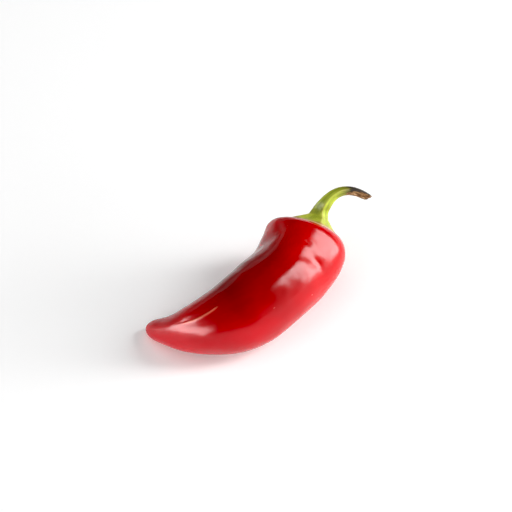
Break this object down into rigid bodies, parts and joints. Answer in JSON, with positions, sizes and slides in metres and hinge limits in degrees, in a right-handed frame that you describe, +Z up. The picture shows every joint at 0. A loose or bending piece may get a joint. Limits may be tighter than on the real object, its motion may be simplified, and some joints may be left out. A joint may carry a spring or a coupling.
{
  "type": "chilli pepper",
  "caption": "Red chilli pepper with a plump curved pod, green calyx and bent stem with a dry torn end, lying on its side.",
  "frame": {"origin": "on the surface that the chilli lies on, under the middle of its box", "axes": "+Z up, +X from the pod's tip towards the stem's end, +Y towards the side that the pod curves to"},
  "size_m": [0.096, 0.0402, 0.0306],
  "materials": {
    "pod_skin": "waxy, glossy deep red skin, darker on the back and a little lighter at the tip",
    "calyx_and_stem": "satin olive to yellow green, brownish at the calyx's rim, dark brown and tan at the dry torn end"
  },
  "bodies": {
    "root": {"pod": "pod_skin", "calyx_and_stem": "calyx_and_stem"}
  },
  "joints": []
}
